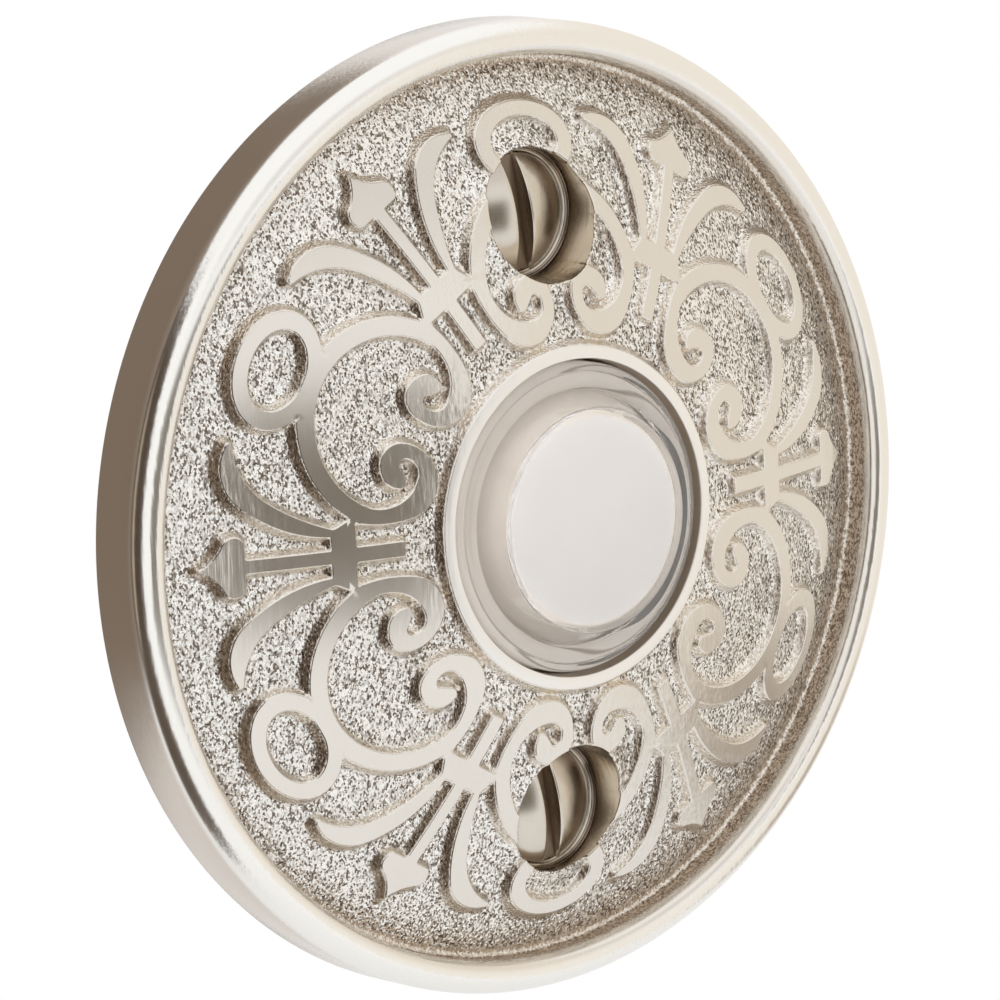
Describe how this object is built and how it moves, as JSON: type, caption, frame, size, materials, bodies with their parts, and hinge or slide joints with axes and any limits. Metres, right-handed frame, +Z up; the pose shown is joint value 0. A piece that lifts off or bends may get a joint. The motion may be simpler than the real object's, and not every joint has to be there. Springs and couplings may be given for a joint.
{
  "type": "doorbell push button",
  "caption": "Round doorbell push button with a domed cast face plate in palmette and scroll relief, a clear lit button on a spring, sunk wall screws and a switch body with terminals behind.",
  "frame": {"origin": "centre of the button's axis on the wall plane, where the plate's back face lies", "axes": "+Z up the wall, +Y into the wall along the button's axis, +X to the right for someone facing the plate"},
  "size_m": [0.0572, 0.0315, 0.0572],
  "materials": {
    "satin_nickel": "satin nickel plate over a casting",
    "polished_nickel": "bright nickel plate",
    "clear_acrylic": "clear moulded plastic",
    "white_acrylic": "white translucent plastic",
    "white_nylon": "moulded white plastic",
    "contact_brass": "stamped brass",
    "spring_steel": "bright spring steel",
    "housing_plastic": "moulded ivory plastic",
    "base_plastic": "brown phenolic board",
    "contact_silver": "silver contact alloy",
    "zinc_steel": "zinc plate",
    "lamp_epoxy": "clear moulded lamp",
    "resistor_body": "lacquered",
    "tinned_wire": "tinned wire"
  },
  "bodies": {
    "base": {"face_plate": "satin_nickel", "mounting_screws": "polished_nickel", "housing": "housing_plastic", "retaining_ring": "spring_steel", "terminal_base": "base_plastic", "contact_left": "contact_brass", "contact_right": "contact_brass", "contact_tips": "contact_silver", "clamp_washers": "zinc_steel", "terminal_screws": "zinc_steel", "lamp": "lamp_epoxy", "lamp_resistor": "resistor_body", "lamp_leads": "tinned_wire", "return_spring": "spring_steel"},
    "button": {"lens_cap": "clear_acrylic", "diffuser": "white_acrylic", "plunger": "white_nylon", "contact_bridge": "contact_brass"}
  },
  "joints": [
    {"name": "button_press", "type": "slide", "parent": "base", "child": "button", "axis": [0, 1, 0], "range_m": [0, 0.0012], "stiffness_N_per_m": 600, "springref_m": -0.003, "deforming": ["return_spring"]}
  ]
}
